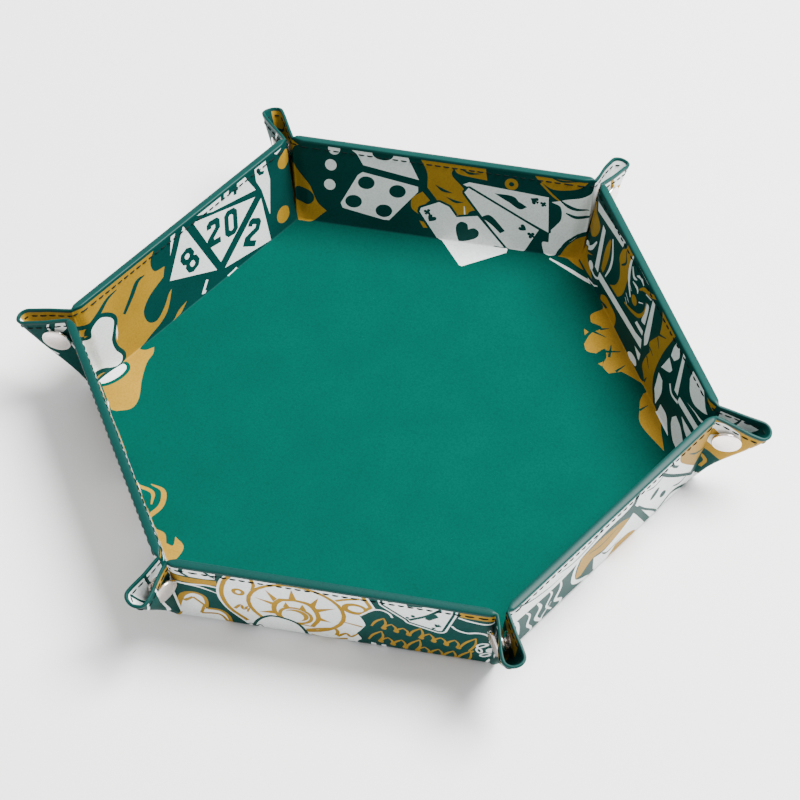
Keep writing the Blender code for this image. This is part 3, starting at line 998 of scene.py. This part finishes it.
def contours_art():
    """White and green contour lines with leaves between them."""
    return draw("""
w p 44,-66 30,-64 / 27,-56 25.6,-44 25.2,-32 27,-23 31,-16 / 34,-4 / 35,10 44,12
g l 1 1 .3 44,-58 36,-52 31,-40 29.6,-30
g l 1.2 .4 1 36,-34 33,-24 36,-12 44,-8
w l 2 .6 .4 27,-57 18,-54 9,-52 -3,-50
w l 1.5 .4 .6 26,-51 19,-47 11,-46.4 3,-42 -3,-43
w l 2.2 .4 .6 25,-44 17,-40 10,-41 2,-36
w l 1.4 .4 .6 26,-37 20,-34 12,-35 4,-30
w l 2 .4 .6 26,-30 18,-28 10,-29 4,-24 -3,-25
w l 1.2 .4 1 20,-61 12,-58 4,-57
w l 1.1 .4 1 12,-32 4,-36 -3,-33
w l 2.4 .6 1 32,-19.4 22,-20.4 12,-18.6 6,-14 2,-8 -3,-4
o p 29,-18 30.4,-8 28,6 24,13 / 18,9 15,0 17,-8 10,-13.4 / 12,-17 20,-18.4
g l 1 .4 .4 26,-13 23,-4 25,5
w p 16,-7 13.6,0 18,9 25,15 29,14 / 44,15 / 44,42 34,43 20,53 8,63 / -3,66 / -3,0 / 4,-4
g l 3 31,13 22,19 12,25 -3,34
g l 1.2 28,17 17,25 6,34 -3,40
g l 1.8 40,28 30,36 19,46 5,60
g e 24,29 3.6 2.2 20
g e 15,37 3.4 1.8 -30
g l 1.2 .4 .4 36,20 33,27 38,33
g l 1.2 .4 .4 13,-1 8,4 10,12
g l 1.4 .4 1 44,34 36,37 30,42
o p 8,9 7.4,17 3,23 -3,25 / -3,8 / 2,6
g l 2 2,38 7,45 3,53 -3,60
g l 1.2 .4 .4 13,44 9,50 11,56
o p 44,39 34,42 24,49 12,59 5,64 / 0,78 / 30,92 / 44,84
g l 1.2 .3 .3 33,48 26,55 22,62
w p 38.4,60 41,66 40,72 / 35,73 33,68 36,63 / 34,60
w p 31,63 33,66 30,70 25,65 / 27,61
w p 34,77 31,82 27,80 29,76
g p 22,60 20,66 15,72 8,68 4,63 / 8,56
o l 1.6 18,61 14,65 9,64
g l 1.2 .5 .5 38,78 34,85
w l 1 43,-68 34,-70 24,-66 12,-66
w l 1 42,-78 36,-80 30,-76
""")


def stripes_art():
    """Straight and curved bars, leaves and petals."""
    return draw("""
w n 43,60 41.2,59 41.4,51.4 43,51
w n 36.6,57.6 33,56.6 36.8,32.6 40.6,31.6
w n 31.4,51.6 30.8,48.6 10,44.8 10,48.4
o p 31,43.4 24,44.6 14,43.4 / 14,41 23,40.2 31,42
w l 1.7 .5 .4 33,41.4 26,37.6 20,37 13.6,38.6
o p 44,29.6 42,22.4 / 35,23 28,21.8 20,22 15,25 / 14,33.4 / 18,29.4 23,28 28,30 31,32.6 36,32 39,29.4
g l 1.2 .3 .6 38,29 33.6,26.6 29.6,29.4
w n 11.4,43.6 7.8,43.8 12.6,-3 16.6,-1.4 15,4
w e 7.6,51.6 2 2.2
w l 1 6.2,50.4 6.2,46 8,43
w l 2 .3 .4 43,22.6 36,23 29,20.6 24,16
w n 43,18.6 41.2,18 41,6 43,4
w l 1.5 .5 .3 37,21 34,18 35,15
w l 1.6 .3 .5 36.4,16 38.4,12.6 37.6,9
w l 1.5 .4 .4 31.6,17.6 32,13 30.4,11.6
w l 1.3 .4 .3 28.6,20 27,16.6
w l 1.2 .3 .3 22.6,20 21,16
w l 1 .3 .3 20.4,19.6 18.6,16.4
o l 2 .8 .3 43,-4 39,2 36.4,8 33,11.4
o e 25.6,12.6 2.2 2.6
o l 1.8 .4 .3 18,19 20,12 23,6 28,3 33,3.6
w l 1.4 .4 .4 36,5.6 37.6,.6
w p 33.4,3 33,.6 24,-.4 / 23.4,3 28,2.4
w n 20.6,-.6 18.4,-1 18,7 20,6
w l 1.2 .4 .3 28,9 30.6,5.6
w p 39,-.4 38.4,-3 / 21,-6.4 16,-4.6 / 20,-2.4
o p 43,-8.4 43,-24.4 / 36,-22 26,-19 15,-17.6 8,-19.2 2,-23.6 / 0,-29 / 0,-9 / 3,-12.4 5,-11 / 8,-7.6 \
14,-8.4 18,-10 / 21,-7.6 26,-10 / 31,-12.6 38,-11.6
g l 1.8 .2 .6 34,-18 30.4,-12
g l 1.6 .7 .2 28.6,-12 25.4,-15.6
g l 1.6 .6 .2 19.6,-8.6 18.6,-13
g l 1.6 .7 .2 14.4,-8.8 11,-13
g l 1.8 .8 .2 3,-12.6 6.4,-13.6
w p 39.6,-26 39.6,-29.4 / 36,-31 31.6,-28.4 / 31.4,-25 / 36,-25
w p 29.6,-24.4 27,-29.2 / 24,-27.4 20.4,-21 / 24,-22.4
w p 17,-20.6 16.4,-25 / 11,-27 3,-25.4 / 8,-21.4
w p 6.6,-29 6.8,-35 3.6,-38.4 -2,-42 / -3,-28
w p 13.4,-42 12,-48 7,-54.4 / 2,-57 / 1.6,-47 6,-41 10,-39.6
w p 41,-43 41.6,-53 / 34,-58.6 / 30,-52 31,-46 36,-42.6
w n 40.6,-32.8 40.4,-35 21.6,-38.4 21.4,-35
w l 1.2 20.6,-30.6 18,-34 19,-40
w n 19.4,-39.6 22.6,-40 25,-62 21.4,-63
w p 25.6,-45.6 28,-54 30,-61 / 28,-62 / 27.4,-54
w n 17,-45.6 18.4,-62 11.6,-58 14,-50
w n 43,-7 41.6,-8 41.6,-16 43,-17
w n 43,-36 41.6,-37 41.6,-43 43,-44
o n 43,-54 41,-56 38,-59.6 43,-61
o p 33,60 28.6,53.4 22,54.4 17,60 / 24,66 / 33,66
w l 2 1 .4 9.6,63 14,55.6 20.6,52.4
o p 12.6,52.4 8.6,56.6 5,50 3,47.6 / .4,62 / 8,66 / 9,60
w l 1.6 1 .3 -2,50 4.4,42
o p 0,20.6 6,21.6 7,28 6.6,34 4,37.6 / 2,36.6 3.4,32 / 3.6,30 1.6,31.6 0,35
w p 10.4,-4 9.4,2 / 7,-3 / 7,-4.4
w b 5,-2 4.4,3 1.6,5.4 0,2 2.6,-3.4
w p 43,66 34,64 / 22,70 / 30,84 / 43,90
g l 1.4 43,72 34,74 28,72
g l 1.2 38,80 30,78
w l 1.6 42,-64 30,-64 20,-68
w l 1.2 42,-70 34,-71 28,-70
w l 1.6 .4 1 36,-75 30,-79
""")


def mirror(shapes):
    return [(paint, mirrored(outline, -1)) for paint, outline in shapes]


def wall_art(wall, face):
    """The print on one face of a wall and of its two half ears."""
    art = {
        ("lining", 0): lambda: leaf_spill() + draw("g n .3,-60 .3,60 9,60 9,-60") + stripes_art() + draw("""
g n 43,-62 43,-92 8,-92 8,-62
w p 40.6,-64 36,-64 / 33,-68 34,-76 / 38,-79 / 40,-72
g l 1.1 .4 1 41,-72 36,-70 33.6,-66
"""),
        ("lining", 1): lambda: pip_die_art() + ribbon_art() + swirl_art() + cards_art() + draw("""
o n 44,69 34,67.6 27,70 24,80 30,90 44,92
g l 1.2 .4 .4 40,74 34,77 33,82
"""),
        ("lining", 2): lambda: flame_art() + bone_art() + many_sided_die_art(),
        ("lining", 3): lambda: mirror(stripes_art()) + curl_spill() + draw("""
w n 44,63 44,92 30,88 22,74 13,67 12,63
g l 1.3 44,71.6 30,70 16,66
g l 1.2 40,80 30,77 24,74
"""),
        ("lining", 4): many_sided_die_art,
        ("lining", 5): lambda: mirror(pip_die_art() + ribbon_art()),
        ("cover", 0): lambda: medallion_art() + draw("""
w n 44,64 44,92 30,88 26,74 22,66
o l 2 43,69 35,72 33,82
o l 1.8 37,65 30,68 27,72
g l 1 43,78 36,80
"""),
        ("cover", 1): lambda: mirror(stripes_art()),
        ("cover", 2): contours_art,
        ("cover", 3): lambda: mirror(medallion_art()) + draw("""
g n 44,-62 44,-92 8,-92 8,-62
w p 42,-64 42,-67.4 / 36,-69 / 35.6,-66 / 38,-64
w l .8 42,-70 38,-70.6 33,-66 24,-63.6
o l 1.6 22,-63.4 14,-63 6,-62.6
w l .8 34,-78 28,-76 22,-71
"""),
        ("cover", 4): medallion_art,
        ("cover", 5): contours_art,
    }[(face, wall)]()
    floor_strip = draw("f n -4,-80 -.5,-80 -.5,80 -4,80") if face == "lining" else []
    return floor_strip + art


def floor_art():
    """The parts of the walls' print that run on to the floor, on the floor's own colour."""
    spills = {0: leaf_spill, 1: lambda: cards_art() + swirl_art(), 2: lambda: flame_art() + bone_art(),
              3: curl_spill}
    found = []
    for wall, shapes in spills.items():
        turned = Matrix.Rotation(wall_angle(wall), 2)
        for paint, outline in shapes():
            if min(point[0] for point in outline) < -FLOOR_BEND:
                found.append(("floor" if paint == "ground" else paint,
                              [turned @ Vector((x + APOTHEM, y)) for x, y in outline]))
    return found


# ---- making the pieces

def make_panels():
    for wall in range(SIDES):
        place_of = partial(rest_point, wall)
        for face, facing in (("lining", 1), ("cover", -1)):
            height, depth = partial(sheet_height, facing), -facing * SKIN
            shapes = wall_art(wall, face)
            build_skin(f"wall_{wall + 1}_{face}", place_of, height, depth, wall_outline(), wall_lines(),
                       shapes, "ground", blend_of("wall", wall, 0),
                       f"wall_{wall + 1}_sleeve")
            for side, kind, first, last, node in ear_panels(wall):
                outline = mirrored(ear_outline(first, last), side)
                lines = [mirrored(line, side) for line in ear_lines(first, last)]
                build_skin(f"{node}_{face}", place_of, height, depth, outline, lines, shapes,
                           "ground", blend_of(kind, wall, side), node)


def make_floor_skins():
    radius = (APOTHEM - FLOOR_BEND) / math.cos(HALF_EAR)
    turns = [2 * math.pi * k / SIDES for k in range(SIDES)]
    outline = [Vector((radius * math.cos(angle), radius * math.sin(angle))) for angle in turns]
    for face, level, depth, ground, slot, shapes in (
        ("lining", 2 * HALF_SHEET, -SKIN, "floor", "floor_lining", floor_art()),
        ("cover", 0.0, SKIN, "ground", "printed_leather", []),
    ):
        build_skin(f"floor_{face}_skin", lambda x, y, z: Vector((x, y, z)) * MM, lambda x, y: level, depth,
                   outline, [], shapes, ground, ("floor",), f"floor_{face}")


def rim_profile(x, y):
    """The rim's section: how far it stands out of the sheet's edge, and its height."""
    top, bottom = sheet_height(1, x, y), sheet_height(-1, x, y)
    middle, half = (top + bottom) / 2, (top - bottom) / 2
    section = []
    for step in range(RIM_STEPS + 1):
        angle = math.pi * (step / RIM_STEPS - 0.5)
        out = RIM_BULGE * min(1.0, half) * math.cos(angle) ** 0.7 if 0 < step < RIM_STEPS else 0.0
        section.append((out + RIM_CLEARANCE, middle + (half + RIM_LAP) * math.sin(angle)))
    return [(-RIM_ROOT, section[0][1])] + section + [(-RIM_ROOT, section[-1][1])]


def make_rim(name, wall, path, body_blend):
    """The painted edge along a stretch of the rim. The path is flat points with their normals."""
    bm = bmesh.new()
    rings = []
    for point, out in path:
        ring = []
        for distance, height in rim_profile(*point):
            x, y = point + out * distance
            ring.append(bm.verts.new(rest_point(wall, x, y, height)))
        rings.append(ring)
    add_tube(bm, rings)
    attach(name, finished(name, bm, EDGE, CREASE), body_blend)


def ear_rim_path(first, last, side, inset=0.0):
    """Flat points along an ear's rim with their normals, moved inwards by the inset."""
    centre = ray_point(ROUND_CENTRE, HALF_EAR)
    path = []
    for angle in steps(first, last, RAY_PITCH):
        point = ray_point(rim_distance(angle), angle)
        out = Vector((1, 0)) if angle <= ROUND_START else (point - centre).normalized()
        path.append(mirrored([point - out * inset, out], side))
    return path


def wall_rim_path():
    """Flat points along the wall's rim with their normals, closer together at its two ends."""
    inner = WALL_END - 8
    places = steps(-WALL_END, -inner, 0.5) + steps(-inner, inner, 8)[1:-1] + steps(inner, WALL_END, 0.5)
    return [(Vector((WALL_HEIGHT, y)), Vector((1, 0))) for y in places]


def make_rims():
    for wall in range(SIDES):
        make_rim(f"wall_{wall + 1}_rim", wall, wall_rim_path(), (f"wall_{wall + 1}",))
        for side, kind, first, last, node in ear_panels(wall):
            path = ear_rim_path(first, last, side)
            make_rim(f"{node}_rim", wall, path, blend_of(kind, wall, side))


def stitch(bm, wall, face, start, end):
    """One stitch: a thread that rises out of the leather and dives back into it."""
    along = (end - start).normalized()
    across = Vector((-along.y, along.x))
    rings = []
    for share, size, rise in ((0, 0.35, -0.22), (0.12, 0.8, 0.0), (0.35, 1, 0.12), (0.65, 1, 0.12),
                              (0.88, 0.8, 0.0), (1, 0.35, -0.22)):
        centre = start.lerp(end, share)
        ring = []
        for step in range(STITCH_STEPS):
            angle = 2 * math.pi * step / STITCH_STEPS
            x, y = centre + across * (STITCH_RADIUS * size * math.cos(angle))
            above = rise + STITCH_RADIUS * size * math.sin(angle)
            ring.append(bm.verts.new(rest_point(wall, x, y, sheet_height(face, x, y) + face * above)))
        rings.append(ring)
    add_tube(bm, rings)


def make_stitches(name, wall, path, body_blend):
    """Stitches on both faces along a path of flat points."""
    bm = bmesh.new()
    lengths = [0.0]
    for before, after in zip(path, path[1:]):
        lengths.append(lengths[-1] + (after - before).length)
    count = max(1, round(lengths[-1] / STITCH_PITCH))
    pitch = lengths[-1] / count

    def at(length):
        for i in range(1, len(path)):
            if length <= lengths[i] or i == len(path) - 1:
                share = (length - lengths[i - 1]) / (lengths[i] - lengths[i - 1])
                return path[i - 1].lerp(path[i], share)

    for order in range(count):
        start = order * pitch + (pitch - STITCH_LENGTH) / 2
        for face in (1, -1):
            stitch(bm, wall, face, at(start), at(start + STITCH_LENGTH))
    attach(name, finished(name, bm, THREAD, None), body_blend)


def make_all_stitches():
    for wall in range(SIDES):
        x = WALL_HEIGHT - STITCH_INSET
        make_stitches(f"wall_{wall + 1}_stitches", wall, [Vector((x, -WALL_END)), Vector((x, WALL_END))],
                      (f"wall_{wall + 1}",))
        for side, kind, first, last, node in ear_panels(wall):
            path = [point for point, _ in ear_rim_path(first, last, side, STITCH_INSET)]
            make_stitches(f"{node}_stitches", wall, path, blend_of(kind, wall, side))


# ---- snaps

def turned(name, profile):
    """A profile in millimetres, turned round Z into a mesh in metres."""
    bm = bmesh.new()
    verts = [bm.verts.new((radius * MM, 0, height * MM)) for radius, height in profile]
    edges = [bm.edges.new(pair) for pair in zip(verts, verts[1:])]
    if profile[0][0] > 0:
        edges.append(bm.edges.new((verts[-1], verts[0])))
    bmesh.ops.spin(bm, geom=verts + edges, axis=(0, 0, 1), cent=(0, 0, 0),
                   angle=2 * math.pi, steps=SNAP_STEPS, use_merge=True)
    bmesh.ops.remove_doubles(bm, verts=bm.verts, dist=1e-7)
    return finished(name, bm, METAL, METAL_CREASE)


def snap_frame(wall, side):
    """The snap's axis on a half ear: Z is the way that the lining faces."""
    (x, y), (far_x, far_y) = (ray_point(reach * SNAP_DISTANCE, SNAP_RAY) for reach in (1, 1.1))
    origin = rest_point(wall, x, side * y, 0)
    along = rest_point(wall, far_x, side * far_y, 0) - origin
    facing = (rest_point(wall, x, side * y, 1) - origin).normalized()
    along = (along - along.dot(facing) * facing).normalized()
    axes = Matrix((along, facing.cross(along), facing)).transposed().to_4x4()
    return Matrix.Translation(origin) @ axes


# The snaps' sections: radius and height in mm above the sheet's middle, on the lining's side.
CAP = [(0, -3.0), (1.5, -2.99), (3.0, -2.93), (4.2, -2.82), (5.0, -2.66), (5.45, -2.55),
       (5.75, -2.62), (6.0, -2.52), (6.18, -2.25), (6.2, -1.9), (6.1, -1.45), (5.6, -1.3),
       (2.0, -1.3), (2.0, 0.75), (1.3, 0.75), (1.3, -1.3), (0, -1.3)]
SOCKET = [(2.5, 0.0), (3.9, 0.0), (4.05, 0.3), (4.1, 0.7), (4.0, 1.15), (3.7, 1.55), (3.3, 1.75),
          (2.9, 1.7), (2.6, 1.45), (2.5, 1.1)]
STUD = [(0, 0.9), (0.8, 0.9), (0.8, -2.3), (1.1, -2.6), (2.2, -2.65), (3.4, -2.6), (4.1, -2.4),
        (4.4, -2.0), (4.4, -1.6), (4.2, -1.3), (2.0, -1.3), (2.0, 0.0), (3.7, 0.0), (3.8, 0.3),
        (3.75, 0.8), (3.5, 0.98), (2.1, 1.05), (1.5, 1.3), (1.2, 1.75), (1.2, 2.3), (1.35, 2.7),
        (1.5, 3.05), (1.5, 3.4), (1.35, 3.75), (1.0, 4.05), (0.5, 4.17), (0, 4.2)]


def make_snaps():
    for wall in range(SIDES):
        for side in (1, -1):
            number, half = corner_of(wall, side)
            has_cap = (number in CAP_BEFORE) == (half == "a")
            pieces = (("cap", CAP), ("socket", SOCKET)) if has_cap else (("stud", STUD),)
            for kind, profile in pieces:
                name = f"corner_{number}_{kind}_metal"
                mesh = turned(name, profile)
                mesh.transform(snap_frame(wall, side))
                attach(name, mesh, (f"ear_{number}{half}",),
                       f"corner_{number}_snap_{kind}")


# ---- camera, light and floor

AZIMUTH = math.radians(10.98)
ELEVATION = math.radians(49.70)
FOCAL_LENGTH = 162.4
ROLL = math.radians(0.13)
DISTANCE = 1.4936
TARGET = Vector((0.00084, 0.01716, 0))
KEY_PLACE = Vector((0.84, 0.56, 1.62))
KEY_SIZE = 1.2
KEY_POWER = 155


def aimed(place, back):
    """The matrix of a camera or a lamp at the place, with the direction back behind it."""
    return Matrix.Translation(place) @ back.to_track_quat("Z", "Y").to_matrix().to_4x4()


def make_camera():
    back = Vector((math.sin(AZIMUTH) * math.cos(ELEVATION),
                   -math.cos(AZIMUTH) * math.cos(ELEVATION), math.sin(ELEVATION)))
    data = bpy.data.cameras.new("camera")
    data.sensor_width = 36.0
    data.lens = FOCAL_LENGTH
    data.clip_end = 20
    camera = bpy.data.objects.new("camera", data)
    bpy.context.scene.collection.objects.link(camera)
    camera.matrix_world = aimed(TARGET + DISTANCE * back, back) @ Matrix.Rotation(ROLL, 4, "Z")
    bpy.context.scene.camera = camera


def make_key_light():
    data = bpy.data.lights.new("key", "AREA")
    data.shape = "DISK"
    data.size = KEY_SIZE
    data.energy = KEY_POWER
    lamp = bpy.data.objects.new("key", data)
    bpy.context.scene.collection.objects.link(lamp)
    lamp.matrix_world = aimed(KEY_PLACE, KEY_PLACE)


def make_stage():
    bpy.ops.mesh.primitive_plane_add(size=6, location=(0, 0, 0))
    ground = bpy.context.object
    ground.name = "studio_floor"
    made, shader, _ = new_material("studio_floor")
    feed(shader, {"Base Color": (0.9, 0.9, 0.9, 1), "Roughness": 0.9})
    ground.data.materials.append(made)
    world = bpy.data.worlds.new("world")
    world.use_nodes = True
    feed(world.node_tree.nodes["Background"], {"Color": (1, 1, 1, 1), "Strength": 1.0})
    bpy.context.scene.world = world
    make_key_light()


def finish_boards():
    """The boards inside the sheet are the CAD's own, with a board's surface."""
    board = greyboard()
    for obj in bpy.context.scene.objects:
        if obj.name.endswith("_board"):
            obj.data.materials.clear()
            obj.data.materials.append(board)
            obj.material_slots[0].material = board


make_camera()
make_stage()
finish_boards()
make_floor_skins()
make_panels()
make_rims()
make_all_stitches()
make_snaps()
